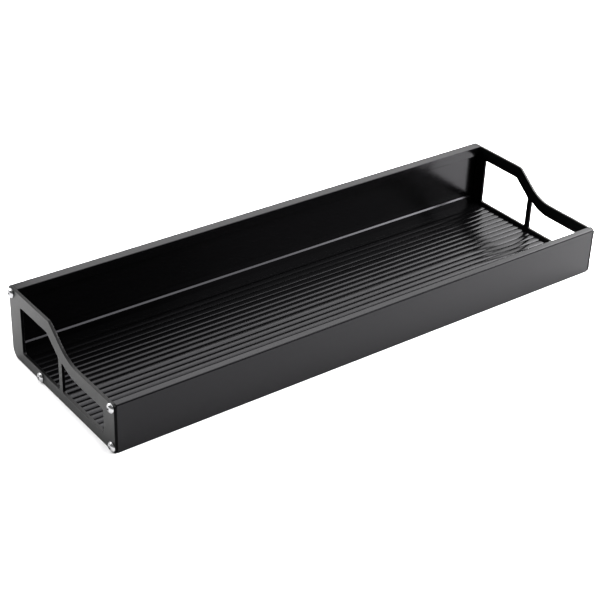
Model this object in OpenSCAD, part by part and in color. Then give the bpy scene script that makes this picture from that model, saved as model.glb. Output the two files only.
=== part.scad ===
// Kitchen shelf tray: three aluminium extrusions held between two flat end plates by tapping screws.
// X runs along the shelf, Y from the front (-) to the back (+), Z up.
// The origin is at the middle of the footprint, on the surface that the shelf stands on.
// Every section below is drawn as [y, z], with y counted from the front face and z from the base.

/* [Overall size] */
// Length over the outer faces of the two end plates
shelf_length = 400; // [200:10:800]
// Depth from the front face to the back edge
shelf_depth = 130; // [124:1:180]
// Height of the back panel
back_height = 52.5; // [48:0.5:70]
// Height of the front panel
front_height = 34.5; // [30:0.5:38]

/* [Extrusions] */
// Thickness of the plain walls of the front and back panels
wall_t = 1.6; // [1.2:0.1:1.6]
// Depth of the rail along the top of the front panel
front_rail_w = 5.4; // [5.4:0.1:6.5]
// Height of the rail along the top of the front panel
front_rail_h = 6.6; // [6:0.1:8]
// Depth of the rail along the top of the back panel
back_rail_w = 7.7; // [7:0.1:8.5]
// Height of the rail along the top of the back panel
back_rail_h = 7.4; // [7:0.1:9]
// Height of the rib tops of the floor above the base
floor_top = 5.5; // [5.4:0.1:6]
// Thickness of the floor, ribs included
floor_t = 2.2; // [1.8:0.1:2.4]
// Height of the top edge of the upstand behind the floor
lip_top = 11.4; // [9:0.1:14]
// Thickness of the upstand and of the flange behind it
lip_t = 1.5; // [1.2:0.1:1.6]

/* [Floor ribs] */
// Distance from one groove to the next
groove_pitch = 5.36; // [5:0.01:5.6]
// Width of the wider rib along the middle of the floor
middle_rib_w = 6.7; // [5:0.1:8]
// Number of grooves on each side of the wider rib
grooves_each_side = 10; // [6:1:10]
// Width of one groove
groove_w = 0.8; // [0.8:0.1:1.6]
// Depth of one groove
groove_depth = 0.5; // [0.4:0.1:1]

/* [End plates] */
// Thickness of an end plate
plate_t = 2; // [1.5:0.1:3]
// Width of the band between the windows and the top edge
top_band = 9.5; // [8.5:0.1:10]
// Width of the band below the windows
bottom_band = 8; // [7.5:0.1:9]
// Width of the band in front of the windows
front_band = 13; // [12:0.1:14]
// Width of the band behind the windows
back_band = 14.5; // [13:0.1:15]
// Width of the post between the two windows
post_w = 4.2; // [4:0.1:6]
// Slope of the top edge between its low and its high stretch, in degrees
step_angle = 38.7; // [34:0.1:42]

/* [Screws] */
// Diameter of a screw head
head_d = 6.8; // [6:0.1:7]
// Height of a screw head
head_h = 2.3; // [2:0.1:2.6]
// Length of a screw under its head
screw_length = 14; // [10:1:20]
// Diameter of the round channels that take the screws
channel_d = 2.8; // [2.6:0.1:2.9]
// Diameter of the screw holes in the end plates
plate_hole_d = 3.8; // [3.6:0.1:4.2]

/* [Hidden] */
$fn = 48;
eps = 0.02;

black = [0.06, 0.06, 0.065];
bright = [0.85, 0.86, 0.88];

panel_length = shelf_length - 2 * plate_t;
floor_underside = floor_top - floor_t;
fit_gap = 0.1;
edge_r = 0.4;
inner_r = 0.5;

// Front panel: the floor's front edge meets the block below the wall, and rests on its ledge.
front_edge_r = 1;
floor_ledge_w = 3;
floor_ledge_t = 1.4;

// Back panel: its lower edge stands in the slot between the floor's upstand and its rear flange.
back_wall_y = shelf_depth - 5.2;
slot_w = wall_t + 2 * fit_gap;
lip_y = back_wall_y - fit_gap - lip_t;
lip_chamfer = 1;
lip_edge_r = 0.2;
flange_y = lip_y + lip_t + slot_w;
floor_end_y = flange_y + lip_t;

// Screw places, as [y, z].
channel_mouth_w = 0.6;
front_screw_y = 3.5;
low_screw_z = 3.6;
front_top_place = [front_screw_y, front_height - 3];
front_bottom_place = [front_screw_y, low_screw_z];
back_top_place = [shelf_depth - 3.7, back_height - 3.8];

// Grooves lie evenly on both sides of the wide rib; one of them opens the floor's screw channel.
floor_middle_y = 0.475 * shelf_depth;
grooves_behind = [for (i = [0:grooves_each_side - 1]) middle_rib_w / 2 + i * groove_pitch];
floor_screw_groove = 5;
floor_place = [floor_middle_y + grooves_behind[floor_screw_groove], low_screw_z];
floor_boss_d = channel_d + 2.4;
PLACES = [front_top_place, front_bottom_place, floor_place, back_top_place];
PLACE_NAMES = ["front_top", "front_bottom", "floor", "back_top"];

// End plate outline: the top edge steps up behind the middle of the depth.
step_y = 0.598 * shelf_depth;
step_run = (back_height - front_height) / tan(step_angle);
step_foot_r = 31;
step_head_r = 5;
front_top_r = 3;
front_bottom_r = 1.5;
back_bottom_r = 7;
back_top_r = 0.8;
window_r = 1.8;
step_drop = top_band / cos(step_angle);
post_back_y = 0.517 * shelf_depth;
post_front_y = post_back_y - post_w;
front_window_slope = 27;
front_window_rise = 5.6;

// Screw: a shank of the thread's core diameter stands for the thread.
shank_d = channel_d - 0.1;
neck_d = plate_hole_d - 0.3;
point_l = 2.5;
head_rim_h = 0.7;
recess_w = 0.9;
recess_span = 3.6;
recess_depth = 1.3;
screw_sides = [["left", -1], ["right", 1]];
SCREWS = [for (side = screw_sides, i = [0:len(PLACES) - 1])
    [str(side[0], "_", PLACE_NAMES[i], "_screw"), side[1], PLACES[i]]];

// --- Outlines with rounded corners -----------------------------------------------------------

function unit(v) = v / norm(v);

// Points of the arc of radius r that rounds the corner p between its neighbours a and b.
function corner_arc(a, p, b, r, steps = 10) =
    let (to_a = unit(a - p), to_b = unit(b - p), half = acos(to_a * to_b) / 2)
    let (centre = p + unit(to_a + to_b) * r / sin(half))
    let (first = p + to_a * r / tan(half) - centre, last = p + to_b * r / tan(half) - centre)
    let (start = atan2(first.y, first.x), turn = atan2(last.y, last.x) - start)
    let (sweep = turn > 180 ? turn - 360 : turn < -180 ? turn + 360 : turn)
    [for (i = [0:steps]) centre + r * [cos(start + sweep * i / steps), sin(start + sweep * i / steps)]];

// A closed outline from corners given as [y, z, radius]; radius 0 keeps a sharp corner.
function rounded(corners) =
    let (n = len(corners), at = [for (c = corners) [c[0], c[1]]])
    [for (i = [0:n - 1])
        each corners[i][2] == 0 ? [at[i]]
            : corner_arc(at[(i + n - 1) % n], at[i], at[(i + 1) % n], corners[i][2])];

// Extrudes a [y, z] section along X, from x = start over the given length.
module along_x(start, length)
    translate([start, -shelf_depth / 2, 0]) rotate([90, 0, 90]) linear_extrude(length) children();

// A solid turned about a screw's axis; its own Z points along +X or, with way = -1, along -X.
module on_screw_axis(place, x, way)
    translate([x, place[0] - shelf_depth / 2, place[1]]) rotate([0, 90 * way, 0]) children();

// --- Extrusions ------------------------------------------------------------------------------

// A screw channel and its mouth, which leaves the channel at the given angle in the section.
module screw_channel(place, mouth_angle)
    translate(place) {
        circle(d = channel_d);
        rotate(mouth_angle) translate([0, -channel_mouth_w / 2]) square([floor_top, channel_mouth_w]);
    }

module front_panel()
    color(black) along_x(-panel_length / 2, panel_length) difference() {
        polygon(rounded([
            [0, 0, edge_r],
            [front_rail_w, 0, edge_r],
            [front_rail_w, floor_underside - floor_ledge_t, 0],
            [front_rail_w + floor_ledge_w, floor_underside - floor_ledge_t, edge_r],
            [front_rail_w + floor_ledge_w, floor_underside, 0],
            [front_rail_w, floor_underside, 0],
            [front_rail_w, floor_top, edge_r],
            [wall_t, floor_top, inner_r],
            [wall_t, front_height - front_rail_h, inner_r],
            [front_rail_w, front_height - front_rail_h, edge_r],
            [front_rail_w, front_height, edge_r],
            [0, front_height, front_edge_r]]));
        screw_channel(front_top_place, -90);
        screw_channel(front_bottom_place, -90);
    }

module floor_section()
    polygon(rounded([
        [front_rail_w + fit_gap, floor_underside, 0],
        [floor_end_y, floor_underside, 1.2],
        [floor_end_y, lip_top, edge_r],
        [flange_y, lip_top, edge_r],
        [flange_y, floor_top, 0],
        [lip_y + lip_t, floor_top, 0],
        [lip_y + lip_t, lip_top, 0],
        [lip_y + lip_chamfer, lip_top, lip_edge_r],
        [lip_y, lip_top - lip_chamfer, lip_edge_r],
        [lip_y, floor_top, inner_r],
        [front_rail_w + fit_gap, floor_top, edge_r]]));

module floor_boss()
    intersection() {
        translate(floor_place) circle(d = floor_boss_d);
        translate([0, -floor_top]) square([shelf_depth, 2 * floor_top]);
    }

module groove(y)
    translate([y - groove_w / 2, floor_top - groove_depth]) square([groove_w, 2 * groove_depth]);

module floor_panel()
    color(black) along_x(-panel_length / 2, panel_length) difference() {
        union() {
            floor_section();
            floor_boss();
        }
        for (offset_y = grooves_behind) {
            groove(floor_middle_y + offset_y);
            groove(floor_middle_y - offset_y);
        }
        screw_channel(floor_place, 90);
    }

module back_panel()
    color(black) along_x(-panel_length / 2, panel_length) difference() {
        polygon(rounded([
            [back_wall_y, floor_top + fit_gap, 0.2],
            [back_wall_y + wall_t, floor_top + fit_gap, 0.2],
            [back_wall_y + wall_t, back_height - back_rail_h, inner_r],
            [shelf_depth, back_height - back_rail_h, edge_r],
            [shelf_depth, back_height, 2 * edge_r],
            [shelf_depth - back_rail_w, back_height, edge_r],
            [shelf_depth - back_rail_w, back_height - back_rail_h, edge_r],
            [back_wall_y, back_height - back_rail_h, inner_r]]));
        screw_channel(back_top_place, 0);
    }

// --- End plates ------------------------------------------------------------------------------

module plate_outline()
    polygon(rounded([
        [0, 0, front_bottom_r],
        [shelf_depth, 0, back_bottom_r],
        [shelf_depth, back_height, back_top_r],
        [step_y, back_height, step_head_r],
        [step_y - step_run, front_height, step_foot_r],
        [0, front_height, front_top_r]]));

// The window behind the post: its upper front corner follows the step of the top edge.
module back_window()
    let (
        top_z = back_height - top_band,
        slope_top_y = step_y + (step_drop - top_band) / tan(step_angle),
        slope_foot_z = top_z - (slope_top_y - post_back_y) * tan(step_angle))
    polygon(rounded([
        [post_back_y, bottom_band, window_r],
        [shelf_depth - back_band, bottom_band, window_r],
        [shelf_depth - back_band, top_z, window_r],
        [slope_top_y, top_z, window_r],
        [post_back_y, slope_foot_z, window_r]]));

// The window in front of the post: its top edge curves up towards the post.
module front_window()
    let (
        top_z = front_height - top_band,
        curve_y = post_front_y - front_window_rise / tan(front_window_slope))
    polygon(rounded([
        [front_band, bottom_band, window_r],
        [post_front_y, bottom_band, window_r],
        [post_front_y, top_z + front_window_rise, window_r / 2],
        [curve_y, top_z, step_foot_r],
        [front_band, top_z, window_r]]));

module end_plate(way)
    color(black) difference() {
        along_x(way > 0 ? panel_length / 2 : -shelf_length / 2, plate_t) difference() {
            plate_outline();
            back_window();
            front_window();
        }
        for (place = PLACES)
            on_screw_axis(place, way * (panel_length / 2 - plate_t), way)
                cylinder(d = plate_hole_d, h = 3 * plate_t);
    }

// --- Screws ----------------------------------------------------------------------------------

// Half section of a screw with its head's seat at height 0 and its point below.
module screw_half_section()
    let (rim_r = head_d / 2, dome_h = head_h - head_rim_h)
    let (dome_r = (rim_r * rim_r + dome_h * dome_h) / (2 * dome_h))
    polygon(concat(
        [[0, -screw_length],
         [shank_d / 2, -screw_length + point_l],
         [shank_d / 2, -plate_t],
         [neck_d / 2, -plate_t + eps],
         [neck_d / 2, 0],
         [rim_r, 0]],
        [for (a = [asin(rim_r / dome_r):-3:1])
            [dome_r * sin(a), head_h - dome_r * (1 - cos(a))]],
        [[0, head_h]]));

module screw(way, place)
    color(bright) on_screw_axis(place, way * shelf_length / 2, way) difference() {
        rotate_extrude() screw_half_section();
        for (turn = [45, 135])
            rotate(turn) translate([-recess_span / 2, -recess_w / 2, head_h - recess_depth])
                cube([recess_span, recess_w, 2 * recess_depth]);
    }

front_panel();
floor_panel();
back_panel();
end_plate(-1);  // left_end_plate
end_plate(1);  // right_end_plate
for (s = SCREWS) screw(s[1], s[2]);
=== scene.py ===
import math

import bmesh
import bpy
from mathutils import Matrix, Vector
from mathutils.geometry import tessellate_polygon


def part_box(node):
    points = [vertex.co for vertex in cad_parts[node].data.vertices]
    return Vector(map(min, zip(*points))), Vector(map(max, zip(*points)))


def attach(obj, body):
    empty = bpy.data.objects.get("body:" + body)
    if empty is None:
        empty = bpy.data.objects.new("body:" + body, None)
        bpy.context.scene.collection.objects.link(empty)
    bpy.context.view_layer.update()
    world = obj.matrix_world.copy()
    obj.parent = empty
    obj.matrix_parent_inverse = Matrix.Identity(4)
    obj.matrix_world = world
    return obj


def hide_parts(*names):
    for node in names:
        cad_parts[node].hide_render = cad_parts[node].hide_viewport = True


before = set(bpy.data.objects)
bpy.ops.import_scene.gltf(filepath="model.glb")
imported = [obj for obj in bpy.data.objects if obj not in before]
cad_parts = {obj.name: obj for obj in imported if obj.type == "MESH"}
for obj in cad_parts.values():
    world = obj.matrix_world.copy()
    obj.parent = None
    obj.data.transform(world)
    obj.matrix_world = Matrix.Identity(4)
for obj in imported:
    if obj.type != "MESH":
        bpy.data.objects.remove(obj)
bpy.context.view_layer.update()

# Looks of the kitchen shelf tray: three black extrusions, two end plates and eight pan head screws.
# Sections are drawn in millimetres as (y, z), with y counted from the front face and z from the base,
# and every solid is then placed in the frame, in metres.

MM = 0.001

# ---------------------------------------------------------------- sizes taken from the frame
plate_low, plate_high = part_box("left_end_plate")
front_low, front_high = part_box("front_panel")
back_low, back_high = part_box("back_panel")
floor_low, floor_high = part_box("floor_panel")

FRONT_Y = plate_low.y
DEPTH = (plate_high.y - plate_low.y) / MM
PLATE_T = (plate_high.x - plate_low.x) / MM
BACK_H = back_high.z / MM
FRONT_H = front_high.z / MM
LIP_TOP = floor_high.z / MM
FLOOR_END_Y = (floor_high.y - FRONT_Y) / MM
RAIL_FRONT_Y = (back_low.y - FRONT_Y) / MM
LEDGE_END_Y = (front_high.y - FRONT_Y) / MM
WALL_BOTTOM = back_low.z / MM

# ---------------------------------------------------------------- section sizes, in millimetres
WALL_T = 1.6
LEDGE_W = 3
LEDGE_T = 1.4
FRONT_RAIL_W = LEDGE_END_Y - LEDGE_W
FRONT_RAIL_H = 6.6
BACK_RAIL_H = 7.4
BACK_WALL_Y = DEPTH - 5.2
FLOOR_TOP = 5.5
FLOOR_T = 2.2
FIT_GAP = 0.1
SLOT_W = WALL_T + 2 * FIT_GAP
LIP_T = 1.5
LIP_Y = FLOOR_END_Y - 2 * LIP_T - SLOT_W
LIP_CHAMFER = 1.0

EDGE_R = 0.4
FINE_EDGE_R = 0.2
FRONT_EDGE_R = 1.0
FLANGE_EDGE_R = 1.2
INNER_R = 0.5

GROOVE_PITCH = 5.36
MIDDLE_RIB_W = 6.7
GROOVES_EACH_SIDE = 10
GROOVE_W = 0.3
GROOVE_DEPTH = 0.5
RIB_CROWN = 0.3
RIB_POWER = 2.5
RIB_STEPS = 16
FRONT_STRIP_RUN = 2.5
FLOOR_MIDDLE_Y = 0.475 * DEPTH

CHANNEL_R = 1.4
MOUTH_W = 0.6
BOSS_R = 2.6

STEP_Y = 0.598 * DEPTH
STEP_ANGLE = math.radians(38.7)
TOP_BAND = 9.5
BOTTOM_BAND = 8
FRONT_BAND = 13
BACK_BAND = 14.5
POST_W = 4.2
POST_BACK_Y = 0.517 * DEPTH
POST_FRONT_Y = POST_BACK_Y - POST_W
STEP_HEAD_R = 5
STEP_FOOT_R = 31
FRONT_TOP_R = 3
FRONT_BOTTOM_R = 1.5
BACK_TOP_R = 0.8
BACK_BOTTOM_R = 7
WINDOW_R = 1.8
FRONT_WINDOW_RISE = 5.6
FRONT_WINDOW_SLOPE = math.radians(27)
PLATE_HOLE_R = 1.9

SCREW_HEAD_H = 2.3
SCREW_RIM_H = 0.7
SEAT_BEVEL = 0.15
DOME_STEPS = 12
DOME_SPAN = 0.985
RECESS_DEPTH = 1.6
RECESS_RISE = 0.5
RECESS_FLOOR = (0.9, 0.4)
RECESS_TOP = (4.0, 0.95)
SCREW_LENGTH = 14
SCREW_TIP_L = 2.5
THREAD_R = 1.35
THREAD_CORE_R = 1.05
THREAD_PITCH = 1.3


# ---------------------------------------------------------------- outlines
def corner_arc(before, corner, after, radius, steps=8):
    """Points of the arc that rounds one corner."""
    to_before = (before - corner).normalized()
    to_after = (after - corner).normalized()
    half = to_before.angle(to_after) / 2
    centre = corner + (to_before + to_after).normalized() * radius / math.sin(half)
    first = corner + to_before * radius / math.tan(half) - centre
    last = corner + to_after * radius / math.tan(half) - centre
    start = math.atan2(first.y, first.x)
    sweep = (math.atan2(last.y, last.x) - start + math.pi) % math.tau - math.pi
    turns = [start + sweep * i / steps for i in range(steps + 1)]
    return [centre + radius * Vector((math.cos(a), math.sin(a))) for a in turns]


def rounded(corners):
    """A closed outline from corners (y, z, radius); radius 0 keeps a corner sharp."""
    at = [Vector(c[:2]) for c in corners]
    outline = []
    for i, (y, z, radius) in enumerate(corners):
        if radius:
            outline += corner_arc(at[i - 1], at[i], at[(i + 1) % len(at)], radius)
        else:
            outline.append(at[i])
    return outline


def keyhole(centre, angle, reach, steps=20):
    """Corners of a round screw channel whose mouth leaves it at angle and ends reach away from its centre.
    They stand in an outline that runs anticlockwise."""
    out = Vector((math.cos(angle), math.sin(angle)))
    side = Vector((-out.y, out.x))
    half = MOUTH_W / 2
    gap = math.asin(half / CHANNEL_R)
    turns = [-gap - (math.tau - 2 * gap) * i / steps for i in range(steps + 1)]
    ring = [out * CHANNEL_R * math.cos(a) + side * CHANNEL_R * math.sin(a) for a in turns]
    points = [out * reach - side * half, *ring, out * reach + side * half]
    return [(*(Vector(centre) + p), 0) for p in points]


# ---------------------------------------------------------------- solids
def ring_offsets(outline):
    """For each point, the step that moves both of its edges 1 into the material on their left."""
    steps = []
    for i, point in enumerate(outline):
        a = (point - outline[i - 1]).normalized()
        b = (outline[(i + 1) % len(outline)] - point).normalized()
        na, nb = Vector((-a.y, a.x)), Vector((-b.y, b.x))
        steps.append((na + nb) / max(0.3, 1 + na.dot(nb)))
    return steps


def faces_front(normal):
    """How squarely a face looks to the front, 0 to 1. The end plates take it as painted shade, which darkens
    their front-facing edges.
    """
    return max(0.0, -normal.y) ** 4


def faces_up_and_front(normal):
    """How near a face is to the slope halfway between the top and the front, 0 to 1. The front panel takes it
    as painted shade, a dark line along its rounded top front edge.
    """
    return max(0.0, -2 * normal.y * normal.z) ** 8


def no_face(normal):
    """Leaves every face at full shine."""
    return 0.0


def prism(name, outlines, x_low, x_high, edge, edge_steps=3, painted_shade_where=no_face):
    """A solid of constant section along X, with the rims of both ends rounded by edge millimetres.
    outlines are the outer one, anticlockwise, and then the holes, clockwise. The face attribute rim marks
    the rounded rims, and a second face attribute holds painted shade: for each side face, what the last
    argument gives for that face's normal."""
    bm = bmesh.new()
    rim = bm.faces.layers.float.new("rim")
    painted_shade = bm.faces.layers.float.new("painted_shade")
    quarter = [math.pi / 2 * i / edge_steps for i in range(edge_steps + 1)]
    levels = [(x_low + edge * (1 - math.cos(a)) * MM, edge * (1 - math.sin(a))) for a in quarter]
    levels += [(x_high - edge * (1 - math.cos(a)) * MM, edge * (1 - math.sin(a))) for a in reversed(quarter)]
    low_cap, high_cap = [], []
    for outline in outlines:
        inwards = ring_offsets(outline)
        rings = []
        for x, inset in levels:
            moved = [p + n * inset for p, n in zip(outline, inwards)]
            rings.append([bm.verts.new((x, FRONT_Y + p.x * MM, p.y * MM)) for p in moved])
        for k in range(len(rings) - 1):
            here, beyond = rings[k], rings[k + 1]
            for i in range(len(outline)):
                j = (i + 1) % len(outline)
                face = bm.faces.new((here[i], here[j], beyond[j], beyond[i]))
                face[rim] = 0.0 if k == edge_steps else 1.0
                face.normal_update()
                face[painted_shade] = painted_shade_where(face.normal)
        low_cap.append(rings[0])
        high_cap.append(rings[-1])
    for loops, way in ((low_cap, -1), (high_cap, 1)):
        verts = [v for loop in loops for v in loop]
        for triangle in tessellate_polygon([[v.co for v in loop] for loop in loops]):
            corners = [verts[i] for i in triangle]
            normal = (corners[1].co - corners[0].co).cross(corners[2].co - corners[0].co)
            if normal.x * way < 0:
                corners.reverse()
            bm.faces.new(corners)
    return finished(name, bm)


def finished(name, bm, sharp_angle=math.radians(35)):
    """Turns a bmesh into a smooth shaded object whose flat faces stay flat."""
    mesh = bpy.data.meshes.new(name)
    bm.to_mesh(mesh)
    bm.free()
    mesh.shade_smooth()
    mesh.set_sharp_from_angle(angle=sharp_angle)
    piece = bpy.data.objects.new(name, mesh)
    bpy.context.scene.collection.objects.link(piece)
    weigh_normals(piece)
    return piece


def weigh_normals(piece):
    """Keeps large flat faces evenly shaded next to small rounded ones."""
    modifier = piece.modifiers.new("flat_faces", "WEIGHTED_NORMAL")
    modifier.keep_sharp = True
    modifier.weight = 100


def dress(piece, node, material):
    """Stands a finished piece in for its CAD node."""
    piece.data.materials.append(material)
    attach(piece, "root")
    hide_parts(node)


# ---------------------------------------------------------------- extrusions
def screw_place(node):
    """Where a screw's axis crosses the section."""
    low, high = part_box(node)
    return Vector((((low.y + high.y) / 2 - FRONT_Y) / MM, (low.z + high.z) / 2 / MM))


def front_section():
    top = screw_place("left_front_top_screw")
    bottom = screw_place("left_front_bottom_screw")
    rail_z = FRONT_H - FRONT_RAIL_H
    ledge_top = FLOOR_TOP - FLOOR_T
    return rounded([
        (0, 0, EDGE_R),
        *keyhole(bottom, -math.pi / 2, bottom.y),
        (FRONT_RAIL_W, 0, EDGE_R),
        (FRONT_RAIL_W, ledge_top - LEDGE_T, 0),
        (LEDGE_END_Y, ledge_top - LEDGE_T, EDGE_R),
        (LEDGE_END_Y, ledge_top, 0),
        (FRONT_RAIL_W, ledge_top, 0),
        (FRONT_RAIL_W, FLOOR_TOP, EDGE_R),
        (WALL_T, FLOOR_TOP, INNER_R),
        (WALL_T, rail_z, INNER_R),
        *keyhole(top, -math.pi / 2, top.y - rail_z),
        (FRONT_RAIL_W, rail_z, EDGE_R),
        (FRONT_RAIL_W, FRONT_H, EDGE_R),
        (0, FRONT_H, FRONT_EDGE_R),
    ])


def back_section():
    top = screw_place("left_back_top_screw")
    rail_z = BACK_H - BACK_RAIL_H
    return rounded([
        (BACK_WALL_Y, WALL_BOTTOM, FINE_EDGE_R),
        (BACK_WALL_Y + WALL_T, WALL_BOTTOM, FINE_EDGE_R),
        (BACK_WALL_Y + WALL_T, rail_z, INNER_R),
        (DEPTH, rail_z, EDGE_R),
        *keyhole(top, 0, DEPTH - top.x),
        (DEPTH, BACK_H, 2 * EDGE_R),
        (RAIL_FRONT_Y, BACK_H, EDGE_R),
        (RAIL_FRONT_Y, rail_z, EDGE_R),
        (BACK_WALL_Y, rail_z, INNER_R),
    ])


def rib(back_y, front_y):
    """The crowned top of one rib between two grooves, from back to front."""
    corners = []
    for i in range(RIB_STEPS + 1):
        across = 2 * i / RIB_STEPS - 1
        drop = RIB_CROWN * abs(across)**RIB_POWER
        corners.append((back_y + (front_y - back_y) * i / RIB_STEPS, FLOOR_TOP - drop, 0))
    return corners


def boss_arc(centre, underside, steps=16):
    """Corners of the part of the boss around a screw channel that stands out below the floor."""
    start = math.asin((centre.y - underside) / BOSS_R)
    turns = [math.pi + start + (math.pi - 2 * start) * i / steps for i in range(steps + 1)]
    return [(centre.x + BOSS_R * math.cos(a), centre.y + BOSS_R * math.sin(a), 0) for a in turns]


def ribbed_top(screw):
    """The floor's top from the rearmost groove to the front rail; the screw channel opens in one groove."""
    offsets = [MIDDLE_RIB_W / 2 + i * GROOVE_PITCH for i in range(GROOVES_EACH_SIDE)]
    grooves = [FLOOR_MIDDLE_Y + d for d in reversed(offsets)] + [FLOOR_MIDDLE_Y - d for d in offsets]
    back_edge, front_edge = grooves[0] + GROOVE_W / 2, grooves[-1] - GROOVE_W / 2
    corners = [(back_edge, FLOOR_TOP, 0)]
    for here, ahead in zip(grooves, grooves[1:] + [None]):
        opens_here = abs(here - screw.x) < GROOVE_W / 2
        if opens_here:
            corners += keyhole(screw, math.pi / 2, FLOOR_TOP - RIB_CROWN - screw.y)
        else:
            corners += [(here + GROOVE_W / 2, FLOOR_TOP - GROOVE_DEPTH, 0),
                        (here - GROOVE_W / 2, FLOOR_TOP - GROOVE_DEPTH, 0)]
        if ahead is not None:
            opens_ahead = abs(ahead - screw.x) < GROOVE_W / 2
            kept = slice(1 if opens_here else 0, -1 if opens_ahead else None)
            corners += rib(here - GROOVE_W / 2, ahead + GROOVE_W / 2)[kept]
    return corners + rib(front_edge, front_edge - 2 * FRONT_STRIP_RUN)[:RIB_STEPS // 2 + 1]


def floor_section():
    screw = screw_place("left_floor_screw")
    underside = FLOOR_TOP - FLOOR_T
    return rounded([
        (FRONT_RAIL_W + FIT_GAP, underside, FINE_EDGE_R),
        *boss_arc(screw, underside),
        (FLOOR_END_Y, underside, FLANGE_EDGE_R),
        (FLOOR_END_Y, LIP_TOP, EDGE_R),
        (FLOOR_END_Y - LIP_T, LIP_TOP, EDGE_R),
        (FLOOR_END_Y - LIP_T, FLOOR_TOP, FINE_EDGE_R),
        (LIP_Y + LIP_T, FLOOR_TOP, FINE_EDGE_R),
        (LIP_Y + LIP_T, LIP_TOP, 0),
        (LIP_Y + LIP_CHAMFER, LIP_TOP, FINE_EDGE_R),
        (LIP_Y, LIP_TOP - LIP_CHAMFER, FINE_EDGE_R),
        (LIP_Y, FLOOR_TOP, 0),
        *ribbed_top(screw),
        (FRONT_RAIL_W + FIT_GAP, FLOOR_TOP, EDGE_R),
    ])


# ---------------------------------------------------------------- end plates
def plate_outlines():
    """The plate's outer edge, its two windows and its four screw holes."""
    step_run = (BACK_H - FRONT_H) / math.tan(STEP_ANGLE)
    outer = rounded([
        (0, 0, FRONT_BOTTOM_R),
        (DEPTH, 0, BACK_BOTTOM_R),
        (DEPTH, BACK_H, BACK_TOP_R),
        (STEP_Y, BACK_H, STEP_HEAD_R),
        (STEP_Y - step_run, FRONT_H, STEP_FOOT_R),
        (0, FRONT_H, FRONT_TOP_R),
    ])
    top_z = BACK_H - TOP_BAND
    slope_top_y = STEP_Y + (TOP_BAND / math.cos(STEP_ANGLE) - TOP_BAND) / math.tan(STEP_ANGLE)
    slope_foot_z = top_z - (slope_top_y - POST_BACK_Y) * math.tan(STEP_ANGLE)
    back_window = rounded([
        (POST_BACK_Y, BOTTOM_BAND, WINDOW_R),
        (DEPTH - BACK_BAND, BOTTOM_BAND, WINDOW_R),
        (DEPTH - BACK_BAND, top_z, WINDOW_R),
        (slope_top_y, top_z, WINDOW_R),
        (POST_BACK_Y, slope_foot_z, WINDOW_R),
    ])
    low_top_z = FRONT_H - TOP_BAND
    curve_y = POST_FRONT_Y - FRONT_WINDOW_RISE / math.tan(FRONT_WINDOW_SLOPE)
    front_window = rounded([
        (FRONT_BAND, BOTTOM_BAND, WINDOW_R),
        (POST_FRONT_Y, BOTTOM_BAND, WINDOW_R),
        (POST_FRONT_Y, low_top_z + FRONT_WINDOW_RISE, WINDOW_R / 2),
        (curve_y, low_top_z, STEP_FOOT_R),
        (FRONT_BAND, low_top_z, WINDOW_R),
    ])
    names = [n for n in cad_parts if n.startswith("left_") and n.endswith("_screw")]
    holes = []
    for name in sorted(names):
        centre = screw_place(name)
        turns = [math.tau * i / 32 for i in range(32)]
        holes.append([centre + PLATE_HOLE_R * Vector((math.cos(a), math.sin(a))) for a in turns])
    return [outer] + [list(reversed(hole)) for hole in (back_window, front_window, *holes)]


# ---------------------------------------------------------------- screws
def head_profile(rim_r):
    """(radius, height) of a pan head from its seat's rim to its top, both in millimetres."""
    dome_h = SCREW_HEAD_H - SCREW_RIM_H
    dome_r = (rim_r**2 + dome_h**2) / (2 * dome_h)
    widest = math.asin(rim_r / dome_r)
    seat = [(rim_r - SEAT_BEVEL, 0.0), (rim_r, SEAT_BEVEL), (rim_r, SCREW_RIM_H - 0.1)]
    dome = [(dome_r * math.sin(a), SCREW_HEAD_H - dome_r * (1 - math.cos(a)))
            for a in (widest * (1 - i / DOME_STEPS) * DOME_SPAN for i in range(DOME_STEPS))]
    return seat + dome


def screw_mesh(rim_r, around=64):
    """A pan head screw with its seat at height 0 and a helical thread below, its axis along Z, in metres.
    A second face attribute marks the shank and its thread with painted shade, so they come out nearly black."""
    bm = bmesh.new()
    painted_shade = bm.faces.layers.float.new("painted_shade")
    rings = []
    turns = [math.tau * i / around for i in range(around)]
    top = bm.verts.new((0, 0, SCREW_HEAD_H * MM))
    for radius, height in reversed(head_profile(rim_r)):
        rings.append([bm.verts.new((radius * MM * math.cos(a), radius * MM * math.sin(a), height * MM))
                      for a in turns])
    steps = int(SCREW_LENGTH / THREAD_PITCH * 8)
    for k in range(steps + 1):
        depth = SCREW_LENGTH * k / steps
        taper = min(1.0, (SCREW_LENGTH - depth) / SCREW_TIP_L)
        ring = []
        for i, a in enumerate(turns):
            phase = (depth / THREAD_PITCH + i / around) % 1
            crest = max(0.0, 1 - abs(phase - 0.5) * 4) if depth > PLATE_T else 1.0
            radius = max(0.05, (THREAD_CORE_R + (THREAD_R - THREAD_CORE_R) * crest) * taper)
            ring.append(bm.verts.new((radius * MM * math.cos(a), radius * MM * math.sin(a), -depth * MM)))
        rings.append(ring)
    for k, (here, beyond) in enumerate(zip(rings, rings[1:])):
        for i in range(around):
            j = (i + 1) % around
            face = bm.faces.new((here[i], beyond[i], beyond[j], here[j]))
            face[painted_shade] = 1.0 if k > len(rings) - steps - 1 else 0.0
    for i in range(around):
        bm.faces.new((top, rings[0][i], rings[0][(i + 1) % around]))
    bm.faces.new(list(reversed(rings[-1])))
    return bm


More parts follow.
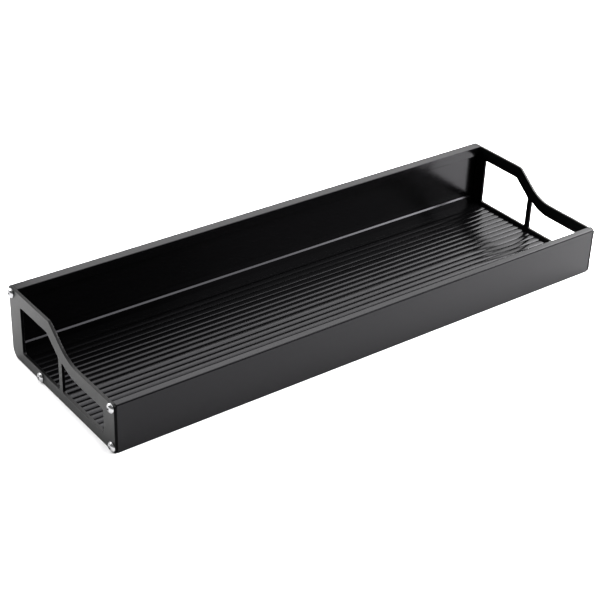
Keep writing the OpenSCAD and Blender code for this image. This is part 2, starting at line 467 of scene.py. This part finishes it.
def recess_wedge(turn):
    """A tapered bar that cuts one arm of the cross recess out of a head; all its faces carry painted shade,
    which the cut leaves on the recess walls so they come out nearly black.
    """
    bm = bmesh.new()
    painted_shade = bm.faces.layers.float.new("painted_shade")
    top_z, floor_z = SCREW_HEAD_H + RECESS_RISE, SCREW_HEAD_H - RECESS_DEPTH
    loops = []
    for z, (span, width) in ((floor_z, RECESS_FLOOR), (top_z, RECESS_TOP)):
        loops.append([bm.verts.new((x * span / 2 * MM, y * width / 2 * MM, z * MM))
                      for x, y in ((-1, -1), (1, -1), (1, 1), (-1, 1))])
    low, high = loops
    bm.faces.new(list(reversed(low)))
    bm.faces.new(high)
    for i in range(4):
        j = (i + 1) % 4
        bm.faces.new((low[i], low[j], high[j], high[i]))
    for face in bm.faces:
        face[painted_shade] = 1.0
    bmesh.ops.rotate(bm, verts=bm.verts, cent=(0, 0, 0), matrix=Matrix.Rotation(turn, 3, "Z"))
    mesh = bpy.data.meshes.new("recess_wedge")
    bm.to_mesh(mesh)
    bm.free()
    wedge = bpy.data.objects.new("recess_wedge", mesh)
    bpy.context.scene.collection.objects.link(wedge)
    return wedge


def carve(piece, tool):
    """Cuts tool out of piece for good, and removes tool."""
    cut = piece.modifiers.new("cut", "BOOLEAN")
    cut.object = tool
    cut.solver = "EXACT"
    graph = bpy.context.evaluated_depsgraph_get()
    carved = bpy.data.meshes.new_from_object(piece.evaluated_get(graph))
    piece.modifiers.clear()
    piece.data = carved
    bpy.data.objects.remove(tool)


def screw_piece(node, material, turn):
    """One screw in its place, its cross recess turned by turn."""
    low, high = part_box(node)
    way = 1 if (low.x + high.x) > 0 else -1
    rim_r = (high.z - low.z) / 2 / MM
    mesh = bpy.data.meshes.new(node + "_looks")
    bm = screw_mesh(rim_r)
    bm.to_mesh(mesh)
    bm.free()
    piece = bpy.data.objects.new(node + "_looks", mesh)
    bpy.context.scene.collection.objects.link(piece)
    for arm in (0, math.pi / 2):
        carve(piece, recess_wedge(arm + turn))
    seat = Vector((way * abs(plate_low.x), (low.y + high.y) / 2, (low.z + high.z) / 2))
    piece.data.transform(Matrix.Translation(seat) @ Matrix.Rotation(way * math.pi / 2, 4, "Y"))
    piece.data.shade_smooth()
    piece.data.set_sharp_from_angle(angle=math.radians(35))
    weigh_normals(piece)
    dress(piece, node, material)


# ---------------------------------------------------------------- materials
FULL_GLOSS = 0.5
# Faces marked with painted shade drop to this specular level, which makes them look dark.
PAINTED_SHADE_GLOSS = 0.05
COATING_IOR = 1.2
RUBBED_GAIN = 4
RUBS_PER_M = 220
STREAKS_PER_M = 1400
STREAK_STRETCH = 400
CLOUDS_PER_M = 35
ROUGHNESS_SPREAD = 0.02


def add_node(tree, kind, settings=None, **sockets):
    """A new node; each socket takes a value, or the output socket that feeds it."""
    node = tree.nodes.new(kind)
    for key, value in (settings or {}).items():
        setattr(node, key, value)
    for key, value in sockets.items():
        socket = node.inputs[key.replace("_", " ")]
        if isinstance(value, bpy.types.NodeSocket):
            tree.links.new(value, socket)
        else:
            socket.default_value = value
    return node


def new_material(name):
    material = bpy.data.materials.new(name)
    material.use_nodes = True
    tree = material.node_tree
    tree.nodes.clear()
    output = tree.nodes.new("ShaderNodeOutputMaterial")
    shader = tree.nodes.new("ShaderNodeBsdfPrincipled")
    tree.links.new(shader.outputs["BSDF"], output.inputs["Surface"])
    return material, tree, shader


def spread(tree, value, low, high):
    """Maps a noise value's middle range on to low..high."""
    node = add_node(tree, "ShaderNodeMapRange", Value=value)
    node.inputs["From Min"].default_value = 0.3
    node.inputs["From Max"].default_value = 0.7
    node.inputs["To Min"].default_value = low
    node.inputs["To Max"].default_value = high
    return node.outputs["Result"]


def noise(tree, place, scale, stretch=(1, 1, 1), detail=3.0):
    """A noise value; scale is in features per metre, and stretch divides it along each axis."""
    mapping = add_node(tree, "ShaderNodeMapping", Vector=place)
    mapping.inputs["Scale"].default_value = [scale / s for s in stretch]
    texture = add_node(tree, "ShaderNodeTexNoise", Vector=mapping.outputs["Vector"], Scale=1.0, Detail=detail)
    return texture.outputs["Fac"]


def black_metal(name, colour, roughness, grain_per_m, grain_height, streak_height, tint=(1, 1, 1)):
    """Black anodised aluminium: fine grain, faint lines along X from the die, paler rubbed rims, and
    painted shade: less shine on the faces that the painted shade attribute marks."""
    material, tree, shader = new_material(name)
    place = tree.nodes.new("ShaderNodeTexCoord").outputs["Object"]
    grain = noise(tree, place, grain_per_m)
    streaks = noise(tree, place, STREAKS_PER_M, stretch=(STREAK_STRETCH, 1, 1))
    clouds = noise(tree, place, CLOUDS_PER_M, detail=2.0)
    rim = add_node(tree, "ShaderNodeAttribute", {"attribute_name": "rim"}).outputs["Fac"]
    rubbed = add_node(tree, "ShaderNodeMath", {"operation": "MULTIPLY"})
    tree.links.new(rim, rubbed.inputs[0])
    tree.links.new(spread(tree, noise(tree, place, RUBS_PER_M), 0.0, 0.6), rubbed.inputs[1])
    paint = add_node(tree, "ShaderNodeMix", {"data_type": "RGBA"})
    tree.links.new(rubbed.outputs[0], paint.inputs["Factor"])
    paint.inputs["A"].default_value = (*colour, 1)
    paint.inputs["B"].default_value = (*[c * RUBBED_GAIN for c in colour], 1)
    tree.links.new(paint.outputs["Result"], shader.inputs["Base Color"])
    uneven = add_node(tree, "ShaderNodeMath", {"operation": "ADD"})
    tree.links.new(spread(tree, clouds, roughness - ROUGHNESS_SPREAD, roughness + ROUGHNESS_SPREAD),
                   uneven.inputs[0])
    tree.links.new(spread(tree, streaks, -ROUGHNESS_SPREAD, ROUGHNESS_SPREAD), uneven.inputs[1])
    tree.links.new(uneven.outputs[0], shader.inputs["Roughness"])
    lines = add_node(tree, "ShaderNodeBump", Height=streaks, Distance=streak_height, Strength=1.0)
    fine = add_node(tree, "ShaderNodeBump", Height=grain, Distance=grain_height, Strength=1.0,
                    Normal=lines.outputs["Normal"])
    tree.links.new(fine.outputs["Normal"], shader.inputs["Normal"])
    painted_shade = add_node(tree, "ShaderNodeAttribute", {"attribute_name": "painted_shade"}).outputs["Fac"]
    gloss = add_node(tree, "ShaderNodeMapRange", Value=painted_shade)
    gloss.inputs["To Min"].default_value = FULL_GLOSS
    gloss.inputs["To Max"].default_value = PAINTED_SHADE_GLOSS
    tree.links.new(gloss.outputs["Result"], shader.inputs["Specular IOR Level"])
    shader.inputs["IOR"].default_value = COATING_IOR
    shader.inputs["Specular Tint"].default_value = (*tint, 1)
    return material


def bright_screw_metal():
    """Nickel plated steel with small handling marks, painted nearly black as shade where the painted shade
    attribute marks it.
    """
    material, tree, shader = new_material("bright_nickel")
    place = tree.nodes.new("ShaderNodeTexCoord").outputs["Object"]
    marks = noise(tree, place, 900, detail=4.0)
    painted_shade = add_node(tree, "ShaderNodeAttribute", {"attribute_name": "painted_shade"}).outputs["Fac"]
    paint = add_node(tree, "ShaderNodeMix", {"data_type": "RGBA"})
    tree.links.new(painted_shade, paint.inputs["Factor"])
    paint.inputs["A"].default_value = (0.3, 0.3, 0.306, 1)
    paint.inputs["B"].default_value = (0.01, 0.01, 0.01, 1)
    tree.links.new(paint.outputs["Result"], shader.inputs["Base Color"])
    shader.inputs["Metallic"].default_value = 1.0
    tree.links.new(spread(tree, marks, 0.1, 0.2), shader.inputs["Roughness"])
    bump = add_node(tree, "ShaderNodeBump", Height=marks, Distance=0.00001, Strength=0.6)
    tree.links.new(bump.outputs["Normal"], shader.inputs["Normal"])
    return material


# ---------------------------------------------------------------- stage, light and camera
def stage_floor():
    bm = bmesh.new()
    bmesh.ops.create_grid(bm, x_segments=1, y_segments=1, size=4)
    mesh = bpy.data.meshes.new("stage_floor")
    bm.to_mesh(mesh)
    bm.free()
    floor = bpy.data.objects.new("stage_floor", mesh)
    bpy.context.scene.collection.objects.link(floor)
    material, tree, shader = new_material("pale_paper")
    shader.inputs["Base Color"].default_value = (0.9, 0.9, 0.9, 1)
    shader.inputs["Roughness"].default_value = 0.9
    shader.inputs["Specular IOR Level"].default_value = 0.1
    mesh.materials.append(material)


def white_world(strength):
    world = bpy.data.worlds.new("studio")
    bpy.context.scene.world = world
    world.use_nodes = True
    background = world.node_tree.nodes["Background"]
    background.inputs["Color"].default_value = (1, 1, 1, 1)
    background.inputs["Strength"].default_value = strength


def soft_box(name, place, target, size, watts):
    light = bpy.data.lights.new(name, "AREA")
    light.shape = "RECTANGLE"
    light.size, light.size_y = size
    light.energy = watts
    lamp = bpy.data.objects.new(name, light)
    lamp.location = place
    lamp.visible_camera = False
    lamp.rotation_euler = (Vector(target) - Vector(place)).to_track_quat("-Z", "Y").to_euler()
    bpy.context.scene.collection.objects.link(lamp)


def photo_camera(place, heading, down, roll, lens):
    """A level camera turned by heading from +Y towards +X, then tipped down and rolled, all in degrees."""
    camera = bpy.data.cameras.new("camera")
    camera.lens = lens
    camera.sensor_width = 36
    camera.clip_start = 0.05
    rig = bpy.data.objects.new("camera", camera)
    turn = Matrix.Rotation(math.radians(-heading), 4, "Z")
    tip = Matrix.Rotation(math.radians(90 - down), 4, "X")
    twist = Matrix.Rotation(math.radians(roll), 4, "Z")
    rig.matrix_world = Matrix.Translation(place) @ turn @ tip @ twist
    bpy.context.scene.collection.objects.link(rig)
    bpy.context.scene.camera = rig


# The boxes above and behind are what the ribs, rails and ledge mirror. Those on the right shade the walls
# from right to left, those in front light the floor that the front wall mirrors, and the last one lifts
# the shadow beside the left plate.
photo_camera(place=(-0.5496, -0.6888, 0.5357), heading=37.76, down=30.93, roll=2.35, lens=89.24)
stage_floor()
white_world(0.35)
soft_box("overhead", (0, 0, 1.3), (0, 0, 0), (1.4, 1.0), 9.6)
soft_box("behind_top", (0.35, 0.52, 1.04), (0.05, 0, 0), (0.8, 0.4), 3.7)
soft_box("behind_high", (0.58, 0.75, 0.92), (0.05, 0, 0), (1.0, 0.35), 4.6)
soft_box("behind_middle", (0.73, 0.87, 0.69), (0.05, 0, 0), (1.0, 0.35), 4.2)
soft_box("behind_low", (0.92, 0.87, 0.42), (0.05, 0, 0), (0.9, 0.3), 1.5)
soft_box("right_high", (1.0, 0.25, 0.69), (0.05, 0, 0), (0.8, 0.4), 2.8)
soft_box("right_side", (1.0, 0, 0.5), (0.1, 0, 0), (0.9, 0.6), 24.7)
soft_box("right_end", (0.5, -0.05, 0.3), (0.2, 0, 0), (0.3, 0.3), 4.3)
soft_box("right_front", (0.75, -0.2, 0.3), (0.3, -0.2, 0), (0.4, 0.3), 13.6)
soft_box("near_front", (0.45, -0.4, 0.35), (0.15, -0.1, 0), (0.35, 0.35), 3.6)
soft_box("high_front", (0.6, -0.55, 1.0), (0.05, 0, 0), (0.6, 0.6), 14.5)
soft_box("low_behind_left", (-0.5, 0.4, 0.3), (-0.15, 0.05, 0), (0.4, 0.3), 4.5)

# ---------------------------------------------------------------- the pieces
extrusion_metal = black_metal("black_extrusion", (0.0005, 0.0005, 0.00055), 0.17, 5000, 0.000004, 0.000003,
                              tint=(0.99, 0.97, 1.06))
plate_metal = black_metal("black_plate", (0.0008, 0.0008, 0.0009), 0.3, 4000, 0.000008, 0.0)
screw_metal = bright_screw_metal()

# The front panel's rounded top front edge gets a painted dark line: less shine there, as painted shade.
for node, section, painted_shade_where in (("front_panel", front_section(), faces_up_and_front),
                                  ("floor_panel", floor_section(), no_face),
                                  ("back_panel", back_section(), no_face)):
    low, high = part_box(node)
    extrusion = prism(node + "_looks", [section], low.x, high.x,
                      edge=0.12, edge_steps=2, painted_shade_where=painted_shade_where)
    dress(extrusion, node, extrusion_metal)

# The end plates get painted shade on their front-facing edges: less shine, so those edges look dark.
for node in ("left_end_plate", "right_end_plate"):
    low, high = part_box(node)
    plate = prism(node + "_looks", plate_outlines(), low.x, high.x, edge=0.25, painted_shade_where=faces_front)
    dress(plate, node, plate_metal)

screw_nodes = sorted(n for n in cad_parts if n.endswith("_screw"))
for count, node in enumerate(screw_nodes):
    screw_piece(node, screw_metal, turn=math.radians(20 + 37 * count))

bpy.context.scene.view_settings.view_transform = "Standard"
